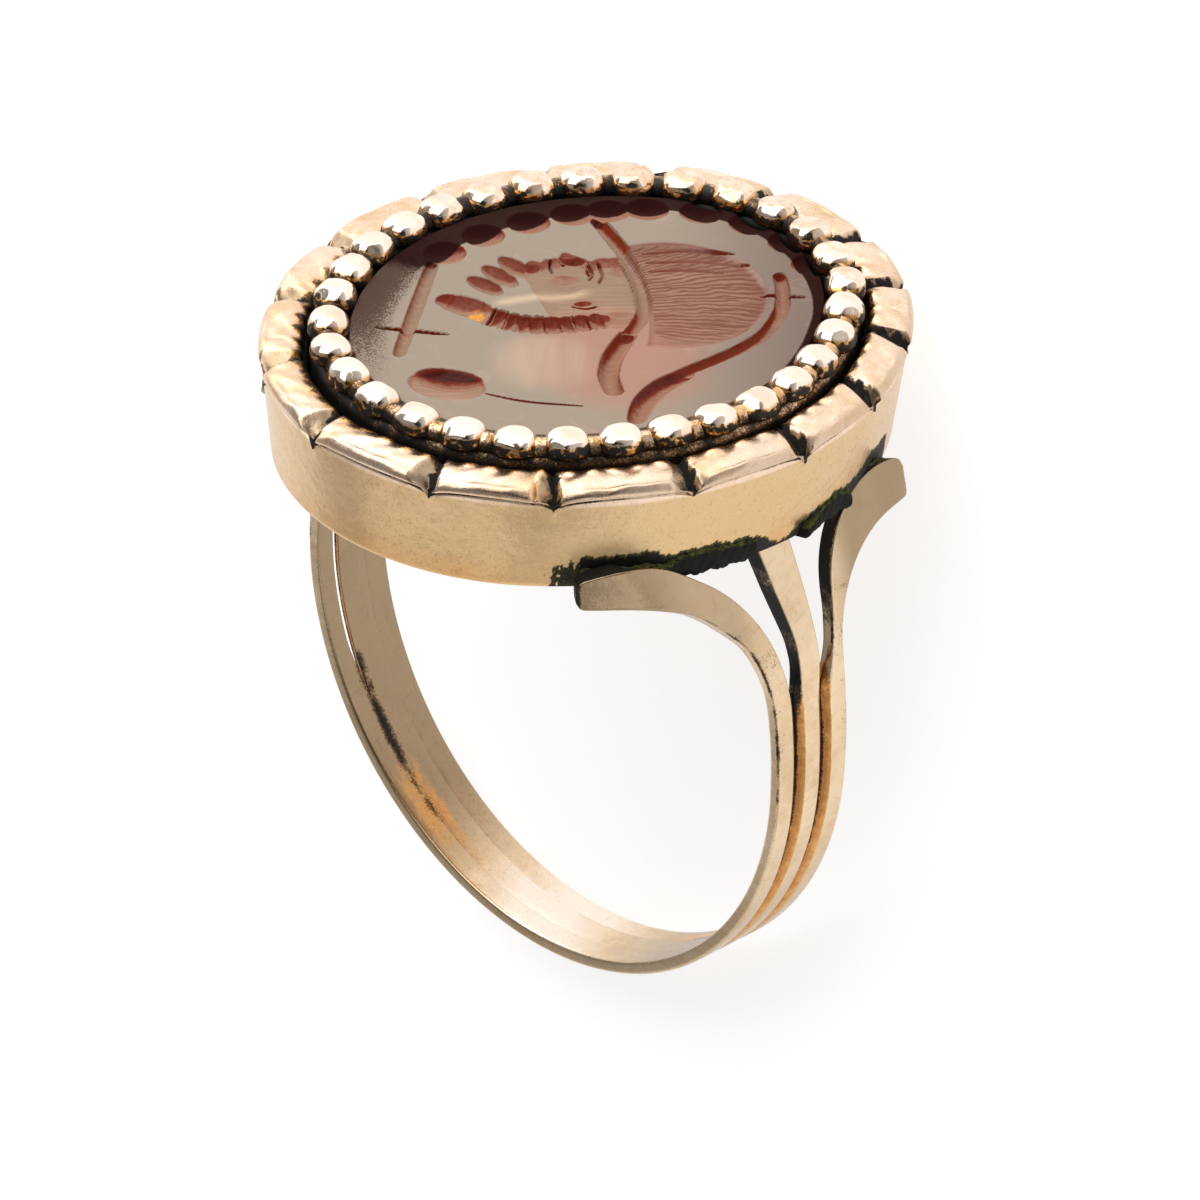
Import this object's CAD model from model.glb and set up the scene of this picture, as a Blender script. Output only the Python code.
import math

import bpy
import numpy as np
from mathutils import Euler, Matrix, Vector, noise


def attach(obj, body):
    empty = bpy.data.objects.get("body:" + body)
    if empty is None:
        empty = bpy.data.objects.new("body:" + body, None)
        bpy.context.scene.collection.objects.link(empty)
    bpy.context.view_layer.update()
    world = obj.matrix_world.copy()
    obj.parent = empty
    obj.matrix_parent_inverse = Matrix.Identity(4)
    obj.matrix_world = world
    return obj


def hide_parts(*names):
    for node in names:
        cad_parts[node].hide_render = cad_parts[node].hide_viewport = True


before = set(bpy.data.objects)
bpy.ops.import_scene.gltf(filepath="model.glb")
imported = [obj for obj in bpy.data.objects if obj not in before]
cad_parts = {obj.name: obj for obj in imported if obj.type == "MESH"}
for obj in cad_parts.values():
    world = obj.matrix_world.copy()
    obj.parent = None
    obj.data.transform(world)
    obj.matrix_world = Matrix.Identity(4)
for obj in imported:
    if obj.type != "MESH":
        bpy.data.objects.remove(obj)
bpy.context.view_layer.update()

millimetre = 0.001
weldDistance = 0.0004       # points of a wrapped grid that lie closer than this become one

# The ring is modelled upright in millimetres, finger along Y and head up,
# and each finished piece is then laid on its side, where the solids lie.
rest = {
    "edgeReach": 9.06,      # head edge that touches the floor: distance along the finger
    "edgeHeight": 7.39,
    "hoopHalfWidth": 1.18,  # side of the hoop's bottom that touches the floor
    "hoopBottom": -9.1,
    "beadReach": 7.6,
    "beadHeight": 10.84,
    "beadRadius": 0.56,
}
leanTurn = math.atan2(rest["edgeReach"] - rest["hoopHalfWidth"], rest["edgeHeight"] - rest["hoopBottom"])
leanSin, leanCos = math.sin(leanTurn), math.cos(leanTurn)
frontX = leanSin * rest["beadReach"] + leanCos * rest["beadHeight"] + rest["beadRadius"]
backX = leanCos * rest["hoopBottom"] - leanSin * rest["hoopHalfWidth"]
midX = (frontX + backX) / 2
liftZ = leanCos * rest["hoopHalfWidth"] - leanSin * rest["hoopBottom"]
layEuler = Euler((leanTurn - math.pi / 2, 0, -math.pi / 2))
layPlace = Vector((-midX, 0, liftZ)) * millimetre
layDown = Matrix.Translation(layPlace) @ layEuler.to_matrix().to_4x4() @ Matrix.Scale(millimetre, 4)


def deselectAll():
    if bpy.context.object and bpy.context.object.mode != "OBJECT":
        bpy.ops.object.mode_set(mode="OBJECT")
    bpy.ops.object.select_all(action="DESELECT")


def takeOnly(piece):
    deselectAll()
    piece.select_set(True)
    bpy.context.view_layer.objects.active = piece


# Joins pieces into the first of them.
def joinPieces(pieces, name):
    takeOnly(pieces[0])
    for piece in pieces:
        piece.select_set(True)
    bpy.ops.object.join()
    pieces[0].name = pieces[0].data.name = name
    return pieces[0]


def points(piece):
    flat = np.empty(len(piece.data.vertices) * 3)
    piece.data.vertices.foreach_get("co", flat)
    return flat.reshape(-1, 3)


def setPoints(piece, where):
    piece.data.vertices.foreach_set("co", np.ascontiguousarray(where, dtype=float).ravel())
    piece.data.update()


def paint(piece, name, values):
    layer = piece.data.attributes.new(name, "FLOAT", "POINT")
    layer.data.foreach_set("value", np.ascontiguousarray(values, dtype=np.float32))


def selectOpenEdges():
    bpy.ops.mesh.select_all(action="DESELECT")
    bpy.ops.mesh.select_mode(type="EDGE")
    bpy.ops.mesh.select_non_manifold(extend=False, use_wire=False, use_multi_face=False,
                                     use_non_contiguous=False, use_verts=False)


# Turns every face outwards and leaves edit mode.
def pointOutwards():
    bpy.ops.mesh.select_mode(type="VERT")
    bpy.ops.mesh.select_all(action="SELECT")
    bpy.ops.mesh.normals_make_consistent(inside=False)
    bpy.ops.object.mode_set(mode="OBJECT")


# A flat grid takes the shape of a tube, a ring or a disc: rows run along it and columns across it.
def wrapGrid(name, place, paints, capped=False):
    rows, columns = place.shape[:2]
    deselectAll()
    bpy.ops.mesh.primitive_grid_add(x_subdivisions=rows - 1, y_subdivisions=columns - 1, size=1)
    piece = bpy.context.object
    piece.name = piece.data.name = name
    flat = points(piece)
    along = np.rint((flat[:, 0] + 0.5) * (rows - 1)).astype(int)
    across = np.rint((flat[:, 1] + 0.5) * (columns - 1)).astype(int)
    setPoints(piece, place[along, across])
    for label, values in paints.items():
        paint(piece, label, np.broadcast_to(values, (rows, columns))[along, across])
    bpy.ops.object.mode_set(mode="EDIT")
    bpy.ops.mesh.select_all(action="SELECT")
    bpy.ops.mesh.remove_doubles(threshold=weldDistance)
    if capped:
        selectOpenEdges()
        bpy.ops.mesh.edge_face_add()
    pointOutwards()
    return piece


# Lays a piece down among the solids. Edges sharper than the angle stay sharp.
def finishPiece(piece, material, angle=None):
    takeOnly(piece)
    piece.matrix_world = layDown
    bpy.ops.object.transform_apply(location=True, rotation=True, scale=True)
    if angle:
        bpy.ops.object.shade_smooth_by_angle(angle=math.radians(angle))
    else:
        bpy.ops.object.shade_smooth()
    piece.data.materials.clear()
    piece.data.materials.append(material)
    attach(piece, "root")


def rise(x, low, high):
    s = np.clip((x - low) / (high - low), 0, 1)
    return s * s * (3 - 2 * s)


def fade(x, low, high):
    return 1 - rise(x, low, high)


# 1 at the middle, about a third at the reach and then 0. A higher power makes it flatter and steeper.
def bell(x, middle, reach, power=2):
    return np.exp(-((x - middle) / reach) ** power)


def compass(turn):
    return np.cos(np.radians(turn)), np.sin(np.radians(turn))


# 1 where the oval faces a direction, down to 0 on the opposite side.
def facing(turn, middle):
    return 0.5 + 0.5 * np.cos(np.radians(turn - middle))


def ripple(where, size, seed):
    shift = Vector((seed * 7.3, seed * 3.1, seed * 1.7))
    return np.array([noise.noise(Vector(p) / size + shift) for p in where])


# What an operator of Wire does; a reflected one has its own value second.
def mathOperator(operation, reflected=False):
    def act(self, other):
        first, second = (other, self) if reflected else (self, other)
        return self.work(operation, first, second)
    return act


# A socket that can be reckoned with: each operator adds the node that does it.
class Wire:
    def __init__(self, tree, socket):
        self.tree, self.socket = tree, socket

    # Adds a node: its settings come first, then the values or links of its sockets.
    def node(self, kind, settings, sockets, out=0):
        made = self.tree.nodes.new("ShaderNode" + kind)
        for name, value in settings.items():
            setattr(made, name, value)
        for key, value in sockets.items():
            if isinstance(value, Wire):
                self.tree.links.new(value.socket, made.inputs[key])
            else:
                made.inputs[key].default_value = value
        return Wire(self.tree, made.outputs[out])

    def work(self, operation, first, second, clamp=False):
        return self.node("Math", {"operation": operation, "use_clamp": clamp}, {0: first, 1: second})

    __add__, __radd__ = mathOperator("ADD"), mathOperator("ADD", True)
    __sub__, __rsub__ = mathOperator("SUBTRACT"), mathOperator("SUBTRACT", True)
    __mul__, __rmul__ = mathOperator("MULTIPLY"), mathOperator("MULTIPLY", True)
    __truediv__, __pow__ = mathOperator("DIVIDE"), mathOperator("POWER")

    def __neg__(self):
        return self.work("MULTIPLY", self, -1.0)

    def clamped(self):
        return self.work("ADD", self, 0.0, True)

    def highest(self, other):
        return self.work("MAXIMUM", self, other)

    def size(self):
        return self.work("ABSOLUTE", self, 0.0)

    def sine(self):
        return self.work("SINE", self, 0.0)

    def step(self, low, high):
        return self.node("MapRange", {"interpolation_type": "SMOOTHSTEP"},
                         {"Value": self, "From Min": low, "From Max": high})

    def stretched(self, factors):
        return self.node("VectorMath", {"operation": "MULTIPLY"}, {0: self, 1: factors})

    def turned(self, turn):
        return self.node("Mapping", {}, {"Vector": self, "Rotation": turn})

    def part(self, index):
        return self.node("SeparateXYZ", {}, {0: self}, out=index)

    def grain(self, scale, detail=3.0, rough=0.5, warp=0.0):
        return self.node("TexNoise", {}, {"Vector": self, "Scale": scale, "Detail": detail,
                                          "Roughness": rough, "Distortion": warp})

    def plug(self, shader, key):
        self.tree.links.new(self.socket, shader.inputs[key])


def blend(factor, first, second):
    return factor.node("Mix", {"data_type": "RGBA"}, {0: factor, 6: first, 7: second}, out=2)


def colour(red, green, blue):
    def linear(c):
        c = c / 255
        return c / 12.92 if c <= 0.04045 else ((c + 0.055) / 1.055) ** 2.4
    return (linear(red), linear(green), linear(blue), 1.0)


# Starts a material: gives it, its shader node and a wire with the ring's own upright millimetres.
def newMaterial(name, constants):
    made = bpy.data.materials.new(name)
    made.use_nodes = True
    tree = made.node_tree
    shader = tree.nodes["Principled BSDF"]
    for key, value in constants.items():
        shader.inputs[key].default_value = value
    place = Wire(tree, tree.nodes.new("ShaderNodeTexCoord").outputs["Object"])
    ring = place.node("Mapping", {"vector_type": "TEXTURE"}, {
        "Vector": place, "Location": layPlace, "Rotation": layEuler, "Scale": (millimetre,) * 3})
    return made, shader, ring


# The distance, in millimetres, is how high a height of 1 stands.
def bump(height, distance, strength):
    return height.node("Bump", {}, {
        "Height": height, "Distance": distance * millimetre, "Strength": strength})


def readPaint(ring, name):
    return ring.node("Attribute", {"attribute_name": name}, {}, out=2)


goldLook = {
    "light": colour(244, 216, 192),   # pinkish cream of the handled metal
    "body": colour(226, 190, 150),
    "pale": colour(250, 234, 218),    # tops of the beads
    "linen": colour(218, 188, 150),   # skin of the strands
    "paleLinen": colour(236, 211, 178),
    "olive": colour(214, 180, 132),   # duller skin of the wall
    "warm": colour(216, 164, 104),    # orange skin low on the wall and in the grooves
    "orange": colour(172, 110, 54),
    "umber": colour(128, 92, 54),
    "dull": colour(160, 138, 110),    # inner faces and worn ends of the strands
    "brown": colour(78, 52, 28),
    "grime": colour(22, 17, 11),
    "green": colour(92, 92, 44),      # verdigris on the solder
    "matte": colour(250, 212, 156),   # mat skin above the solder
    "rimHeight": 10.05,               # the wall's own skin ends here
    "warmHeight": 8.6,                # and its orange part here
    "scratchTurns": ((0.2, 0.5, 0.3), (1.2, 0.1, 0.9)),
    "scratchSizes": (12.0, 15.0),
}


# Fine scratches: noise drawn out along a turned axis, kept only at its crests.
def scratches(ring, turn, size):
    drawn = ring.turned(turn).stretched((size, size, size * 0.045)).grain(1.0, 1.0, 0.4)
    return drawn.step(0.66, 0.73)


def makeGold(name, rough, wall=False, strands=False, beads=False):
    look = goldLook
    made, shader, ring = newMaterial(name, {"Metallic": 1.0, "IOR": 1.45})
    z = ring.part(2)
    cloudy = ring.grain(0.55, 3.0, 0.6)
    mottle = ring.grain(3.2, 5.0, 0.7)
    speck = ring.grain(18.0, 3.0, 0.7)
    grime, patina, green = (readPaint(ring, label) for label in ("grime", "patina", "green"))

    clouds = (cloudy * 0.6 + mottle * 0.4).step(0.36, 0.62)
    if beads:
        tone = blend(cloudy.step(0.3, 0.55), look["light"], look["pale"])
    elif strands:
        tone = blend(clouds, look["linen"], look["paleLinen"])
    else:
        tone = blend(clouds, look["body"], look["light"])
    if wall:
        matte = readPaint(ring, "matte")
        wallPart = (look["rimHeight"] - z).step(0.0, 0.12)
        tone = blend(wallPart * (0.62 + mottle * 0.5).clamped(), tone, look["olive"])
        low = (look["warmHeight"] - z + (cloudy - 0.5) * 3.0).step(0.0, 1.7)
        tone = blend(low * wallPart * 0.7, tone, look["warm"])
        tone = blend(matte * 0.85, tone, look["matte"])
    if wall or strands:
        dull = readPaint(ring, "dull")
        tone = blend((dull + (cloudy - 0.5) * 0.25).clamped(), tone, look["dull"])
        tone = blend((-dull).clamped(), tone, look["pale"])
    warmth = (patina + (mottle - 0.5) * 0.9 * patina.step(0.02, 0.3)).clamped()
    tone = blend(warmth.step(0.12, 0.6), tone, look["warm"])
    tone = blend(warmth.step(0.55, 1.0) * 0.8, tone, look["orange"] if strands else look["umber"])
    patchy = grime.step(0.01, 0.2)
    dark = (grime * 1.2 + ((mottle - 0.5) * 1.1 + (speck - 0.5) * 1.1) * patchy).clamped()
    stained = dark.step(0.14, 0.5)
    darkness = dark.step(0.42, 0.74)

    line = scratches(ring, look["scratchTurns"][0], look["scratchSizes"][0])
    if wall or strands:
        line = line.highest(scratches(ring, look["scratchTurns"][1], look["scratchSizes"][1]))
        tone = blend(line * (0.2 if wall else 0.13), tone, look["umber"])
    freckles = (0.36 - speck).step(0.0, 0.06) * (mottle - 0.45).step(0.0, 0.2)
    crust = (green * 1.3 + (speck - 0.5) * 1.7 + (mottle - 0.5) * 1.3).step(0.5, 0.9) * green.step(0.02, 0.3)
    for mask, shade in ((freckles * 0.6, "brown"), (stained * 0.85, "brown"), (darkness, "grime"),
                        (crust * 0.9, "green")):
        tone = blend(mask, tone, look[shade])
    tone.plug(shader, "Base Color")

    worn = rough + (mottle - 0.5) * 0.14 + (speck - 0.5) * 0.07 + darkness * 0.4 + crust * 0.3 + line * 0.04
    worn.clamped().plug(shader, "Roughness")
    coated = darkness.highest(crust)
    if wall:
        coated = coated.highest(matte)
    (1.0 - coated * 0.85).clamped().plug(shader, "Metallic")
    height = cloudy * (0.5 if beads else 0.45) + mottle * (0.05 if beads else 0.12)
    height = height + speck * (0.008 + 0.09 * stained) - line * 0.015
    bump(height, 0.16, 0.6).plug(shader, "Normal")
    return made


wallGold = makeGold("brushedRoseGold", 0.27, wall=True)
strandGold = makeGold("wornStrandGold", 0.25, strands=True)
beadGold = makeGold("beadedRoseGold", 0.1, beads=True)
solderCrust = makeGold("tarnishedSolder", 0.5)
print("gold materials ready")


# The oval of the head has two long arcs and two short ones.
oval = {"halfWidth": 6.52, "halfLength": 7.6}
arcShift = (oval["halfLength"] - oval["halfWidth"]) * (1 + math.sqrt(2) / 2)
sideRadius = oval["halfWidth"] + arcShift
endRadius = oval["halfLength"] - arcShift


def arcRadius(turn):
    c, s = compass(turn)
    return np.where(np.abs(c) >= np.abs(s), sideRadius, endRadius)


# Points on the oval: turn is the direction of the outward normal in degrees, out the step from the bead line.
def ovalPoints(turn, out, height):
    turn, out, height = np.broadcast_arrays(np.asarray(turn, float), out, height)
    c, s = compass(turn)
    side = np.abs(c) >= np.abs(s)
    radius = arcRadius(turn) + out
    cx = np.where(side, -arcShift * np.sign(c), 0)
    cy = np.where(side, 0, arcShift * np.sign(s))
    return np.stack([cx + radius * c, cy + radius * s, height], -1)


# Normal direction at a length along the bead line.
def turnAt(way):
    sideLength, endLength = sideRadius * math.pi / 2, endRadius * math.pi / 2
    turns, way = divmod(way, sideLength + endLength)
    if way < sideLength / 2:
        return 180 * turns + 90 * way / sideLength
    if way < sideLength / 2 + endLength:
        return 180 * turns + 45 + 90 * (way - sideLength / 2) / endLength
    return 180 * turns + 135 + 90 * (way - sideLength / 2 - endLength) / sideLength


# The hoop is three strands side by side that part into prongs.
hoop = {
    "outerRadius": 9.3,
    "centreHeight": 0.2,
    "shoulderRadius": 16.7,
    "thickness": 0.37,
    "tipThickness": 0.58,
    "halfWidthTop": 1.3,
    "halfWidthBottom": 1.18,
    "middleHalf": 0.24,     # half the face of the middle strand
    "grooveMiddle": 0.5,
    "grooveHalf": 0.26,
    "grooveDepth": 0.2,
    "middleRounds": (0.06, 0.06, 0.03, 0.02, 0.02, 0.03),   # roundness of each corner of a section
    "outerRounds": (0.06, 0.09, 0.09, 0.02, 0.03),
    "slit": 0.2,            # gap of the sprung joint on the far side
    "wallOut": 2.24,        # prong tips stand this far out from the bead line
    "leaveHeight": 6.9,     # below this the prongs leave the wall outwards
    "leaveSlope": 0.787,
    "leaveSoft": 0.2,
    "bendSoft": 0.1,
    "tipRound": 0.2,
    "partHeight": 1.36,     # how much higher up the strands part for each millimetre along the finger
    "sideColumns": 15,      # columns of an outer strand's section that face the middle strand
    "shoulderRows": 150,
    "hoopRows": 230,
    "arcPoints": 60,
}
mirrorY = np.array([1, -1, 1])
halfTurn = np.array([-1, -1, 1])


def arcLine(centre, radius, start, end):
    turns = np.radians(np.linspace(start, end, hoop["arcPoints"]))
    return np.stack([centre[0] + radius * np.cos(turns), centre[1] + radius * np.sin(turns)], 1)


# Evenly spaced stations along a line of (Y, Z) points, softened where they bend.
def softCurve(line, count):
    line = np.asarray(line, float)
    way = np.concatenate([[0], np.cumsum(np.linalg.norm(np.diff(line, axis=0), axis=1))])
    spots = way[-1] * np.linspace(0, 1, count)
    line = np.stack([np.interp(spots, way, line[:, k]) for k in (0, 1)], 1)
    for _ in range(count * 3 // 20):
        line[1:-1] = (line[:-2] + 2 * line[1:-1] + line[2:]) / 4
    return line


# Outer face of the shoulders: the hoop's curve, turning to follow the oval wall.
def shoulderX(y, z):
    curve = hoop["outerRadius"] - hoop["shoulderRadius"] + np.sqrt(
        hoop["shoulderRadius"] ** 2 - (z - hoop["centreHeight"]) ** 2)
    away = np.log1p(np.exp((hoop["leaveHeight"] - z) / hoop["leaveSoft"]))
    out = hoop["wallOut"] + hoop["leaveSlope"] * hoop["leaveSoft"] * away
    around = -arcShift + np.sqrt((sideRadius + out) ** 2 - y ** 2)
    low, soft = np.minimum(curve, around), hoop["bendSoft"]
    return low - soft * np.log(np.exp((low - curve) / soft) + np.exp((low - around) / soft))


def shoulderNormal(y, z):
    d = 0.01
    dy = (shoulderX(y + d, z) - shoulderX(y - d, z)) / (2 * d)
    dz = (shoulderX(y, z + d) - shoulderX(y, z - d)) / (2 * d)
    n = np.stack([np.ones_like(y), -dy, -dz], -1)
    return n / np.linalg.norm(n, axis=-1, keepdims=True)


# Edges of the prongs as (Y, Z) points, from the widest part of the hoop to the tips.
rootZ = hoop["centreHeight"]
faceIn = hoop["grooveMiddle"] + hoop["grooveHalf"]
faceOut = hoop["halfWidthTop"]
middleHalf = hoop["middleHalf"]
longInner = np.concatenate([
    [(faceIn, rootZ), (faceIn, 2.0)], arcLine((6.17, 2.67), 5.43, 176, 128),
    [(3.5, 7.42), (4.0, 7.76), (4.5, 7.98), (5.0, 8.12), (5.5, 8.18), (6.0, 8.08), (6.6, 7.86)]])
longOuter = np.concatenate([
    [(faceOut, rootZ), (faceOut + 0.01, 1.6)], arcLine((6.1, 2.5), 4.76, 177, 148),
    [(3.0, 5.95), (3.5, 6.36), (4.0, 6.63), (4.5, 6.81), (5.0, 6.92), (5.5, 6.99), (6.6, 7.05)]])
shortInner = np.concatenate([
    [(faceIn, rootZ), (faceIn, 2.75), (1.19, 4.9)], arcLine((4.1, 5.0), 2.88, 178, 76)])
shortOuter = np.concatenate([[(faceOut, rootZ), (1.36, 3.2)], arcLine((4.57, 3.54), 3.2, 178, 84.5)])
middleLeft = [(-middleHalf, rootZ), (-middleHalf, 3.0), (-0.3, 4.5), (-0.53, 5.4), (-0.74, 6.2),
              (-0.95, 7.3), (-1.02, 7.7)]
middleRight = [(middleHalf, rootZ), (0.26, 2.7), (0.38, 3.2), (0.5, 3.9), (0.44, 4.7), (0.36, 5.6),
               (0.29, 6.4), (0.24, 7.3), (0.2, 7.72)]


# Rounds off the corners of a strand's section, which are (way across, depth) for each station.
def roundSection(corners, radii):
    def towards(start, other, radius):
        step = other - start
        length = np.linalg.norm(step, axis=1, keepdims=True) + 1e-9
        return start + step / length * np.minimum(radius, length * 0.45)

    count = len(radii)
    ring = []
    for k in range(count):
        here, following = corners[:, k], corners[:, (k + 1) % count]
        start, end = towards(here, corners[:, k - 1], radii[k]), towards(here, following, radii[k])
        for t in np.linspace(0, 1, 5):
            ring.append((1 - t) ** 2 * start + 2 * t * (1 - t) * here + t * t * end)
        nextStart = towards(following, here, radii[(k + 1) % count])
        for t in (1 / 3, 2 / 3):
            ring.append(end + (nextStart - end) * t)
    ring.append(ring[0])
    return np.stack(ring, 1)


# Section between the edges a and b of a strand's face, with a step at each groove.
def strandSection(a, b, groove, thick, middle):
    g, t = groove[:, None], thick[:, None]
    zero = np.zeros_like(t)
    depth = np.minimum(hoop["grooveDepth"], t * 0.6)
    if middle:
        corners = [(a, zero), (b, zero), (b + g, depth), (b + g, t), (a - g, t), (a - g, depth)]
    else:
        corners = [(a, zero), (b, zero), (b, t), (a - g, t), (a - g, depth)]
    corners = np.stack([np.concatenate(corner, 1) for corner in corners], 1)
    return roundSection(corners, hoop["middleRounds"] if middle else hoop["outerRounds"])


# Lays sections on a shoulder: q runs from the inner edge (0) to the outer edge (1).
def shoulderStrand(inner, outer, groove, thick, middle=False):
    a = softCurve(inner, len(groove))
    b = softCurve(outer, len(groove))
    width = np.linalg.norm(b - a, axis=1)[:, None]
    endWay = np.linalg.norm(a[-1] - a, axis=1)[:, None]
    r = hoop["tipRound"]
    pinch = np.where(endWay < r, r - np.sqrt(np.maximum(r * r - (r - endWay) ** 2, 0)), 0) * (not middle)
    ring = strandSection(pinch, width - pinch, groove, thick, middle)
    q = ring[..., 0] / width
    y, z = (a[:, None, k] + q * (b - a)[:, None, k] for k in (0, 1))
    where = np.stack([shoulderX(y, z), y, z], -1) - shoulderNormal(y, z) * ring[..., 1:2]
    return where, ring


def hoopStrand(inner, outer, groove, middle=False):
    turn = np.linspace(0, math.pi, len(groove))
    half = faceOut + (hoop["halfWidthBottom"] - faceOut) * np.sin(turn)
    narrow = (half / faceOut)[:, None]
    thick = np.full(len(groove), hoop["thickness"])
    ring = strandSection(inner * narrow, outer * narrow, groove, thick, middle)
    radius = hoop["outerRadius"] - ring[..., 1]
    where = np.stack([radius * np.cos(turn)[:, None], ring[..., 0],
                      hoop["centreHeight"] - radius * np.sin(turn)[:, None]], -1)
    return where, ring


# Tarnish of a strand: orange in the grooves, black where the strands part and on the sides of the prongs.
def strandPaints(place, depth, middle):
    x, lane, z = place[..., 0], place[..., 1], place[..., 2]
    side = np.sign(x)
    toSeam = np.abs(np.abs(lane) - hoop["grooveMiddle"])
    parted = z - hoop["partHeight"] * lane * side
    inGroove = rise(depth, 0.03, 0.1) * fade(depth, 0.24, 0.32)
    channel = rise(depth, 0.002, 0.04) * fade(depth, 0.24, 0.32)
    patina = channel * fade(toSeam, 0.26, 0.34) * fade(parted, 2.9, 3.9)
    patina = patina * (0.74 + 0.26 * rise(depth, 0.05, 0.16))
    seam = inGroove * fade(toSeam, 0.02, 0.06) * (0.4 + 0.35 * rise(z, -1.5, 2.4))
    sideFace = rise(depth, 0.02, 0.07) * rise(parted, 2.6, 3.6)
    if not middle:
        columns = place.shape[1]
        sideFace = sideFace * (np.arange(columns) >= columns - hoop["sideColumns"])
    grime = np.maximum(sideFace * (0.72 + 0.2 * np.sin(z * 4.1 + lane * 3)), seam)
    topEnd = rise(z, 6.9, 7.3) * rise(depth, 0.02, 0.07)
    grime = np.maximum(grime, topEnd * (0.7 if middle else 1.0))
    if not middle:
        tip = rise(-lane * side, 6.46, 6.56) * (side > 0)
        grime = np.maximum(grime, tip * 0.7)
    # Inside the hoop one seam is dark, with an orange patch along it low on the far branch.
    inside = rise(depth, 0.31, 0.35) * fade(z, 4.5, 6.0)
    openSeam = np.abs(lane + hoop["grooveMiddle"])
    wide = 0.06 + 0.1 * rise(z, -6.6, -5.6)
    seamLine = inside * (side < 0) * fade(openSeam, wide * 0.3, wide)
    seamLine = seamLine * rise(-z, 3.4, 4.0) * fade(-z, 7.2, 8.0)
    grime = np.maximum(grime, seamLine * (0.6 + 0.15 * np.sin(z * 3.1)))
    patch = bell(z, -7.2, 1.0) * (side < 0) * fade(np.abs(openSeam - 0.2), 0.1, 0.55)
    patina = np.maximum(patina, inside * patch * 0.52)
    # Dark line where the outer edge of each outer strand was folded.
    if not middle:
        fold = bell(depth, 0.06, 0.05) * (np.abs(lane) > 1.0) * rise(z, -1.5, 1.0) * fade(z, 5.6, 6.6)
        grime = np.maximum(grime, fold * (0.42 + 0.2 * np.sin(z * 5.0 + np.sin(z * 2.3) * 2)))
    inner = rise(depth, 0.31, 0.36)
    around = np.degrees(np.arctan2(hoop["centreHeight"] - z, x))
    shine = inner * bell(around - lane * 4, 94, 13)      # polished by wear at the very bottom
    worn = 0.5 * rise(np.abs(lane), 1.2, 2.4) + 0.3 * rise(np.abs(lane), 3.2, 5.0)
    worn = worn + 0.2 * rise(z, 3.5, 5.5) + 0.25 * rise(lane * side, 1.2, 2.4)
    worn = worn + 0.55 * rise(-z, 1.5, 6.0)
    dull = inner * (0.3 + 0.65 * rise(z, -8.6, -6.9)) - shine * 1.6 + (1 - inner) * worn
    return {"grime": grime, "patina": patina, "green": 0, "dull": dull}


def makeStrand(name, middle=False, slit=0.0):
    gap = hoop["grooveHalf"]
    way = np.linspace(0, 1, hoop["shoulderRows"])
    lap = np.linspace(0, 1, hoop["hoopRows"])
    swell = hoop["thickness"] + (hoop["tipThickness"] - hoop["thickness"]) * rise(way, 0.3, 0.75)
    if middle:
        closing = fade(way, 0.33, 0.5)
        near, nearRing = shoulderStrand(middleLeft, middleRight, gap * closing, swell, middle=True)
        # The far half is the near one turned round, so its section runs the other way.
        order = np.argmin(np.abs(-near[0][None, :, 1] - near[0][:, None, 1])
                          + 4 * np.abs(nearRing[0][None, :, 1] - nearRing[0][:, None, 1]), axis=1)
        far, farRing = (near * halfTurn)[:, order], nearRing[:, order]
        below, belowRing = hoopStrand(-middleHalf, middleHalf, gap + 0 * lap, middle=True)
    else:
        near, nearRing = shoulderStrand(longInner, longOuter, gap * fade(way, 0.2, 0.34), swell)
        near = near * mirrorY
        closing = fade(way, 0.24, 0.4)
        far, farRing = shoulderStrand(shortInner, shortOuter, (gap - slit) * closing, swell)
        far = far * halfTurn
        below, belowRing = hoopStrand(faceIn, faceOut, gap - slit * rise(lap, 0.8, 0.88))
        below = below * mirrorY
    place = np.concatenate([near[::-1], below[1:-1], far])
    depth = np.concatenate([nearRing[::-1], belowRing[1:-1], farRing])[..., 1]
    return wrapGrid(name, place, strandPaints(place, depth, middle), capped=True)


strands = [makeStrand("sprungStrand", slit=hoop["slit"]), makeStrand("closedStrand"),
           makeStrand("middleStrand", middle=True)]
takeOnly(strands[1])
strands[1].rotation_euler[2] = math.pi   # the outer strands are the same, turned half round
bpy.ops.object.transform_apply(rotation=True)
threeStrandHoop = joinPieces(strands, "threeStrandHoop")
finishPiece(threeStrandHoop, strandGold, angle=50)
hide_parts("shank_and_box")
print("hoop and prongs ready")


box = {
    "baseHeight": 7.27,
    "floorTop": 7.82,
    "wallFoot": (1.46, 7.37),   # foot of the leaning wall: step out from the bead line, and height
    "wallRise": (0.32, 2.7),
    "notchTurns": [1, 20, 38, 58, 79, 105, 131, 152, 172, 193, 212, 235, 262, 293, 318, 340],
    "notchDepth": 0.42,
    "notchHalf": 0.34,
    "innerDepth": 0.2,      # depth and half the width of a notch at the inner edge of the tiles
    "innerHalf": 0.17,
    "cusp": 0.27,           # how far the lower edge of the rim dips under each notch
    "crownOut": 1.27,
    "innerReach": 0.61,     # inner edge of the tiles where it comes nearest the beads
    "frontGap": 0.02,       # and how much farther off it stays at the front
    "frontTurn": 292,       # direction in which the trench is widest
    "sideTurn": 10,         # direction in which the rim is cleanest
    "columns": 1080,
    "pitTurn": 331.5,
    "pitHeight": 9.75,
    "seed": 7,
}


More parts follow.
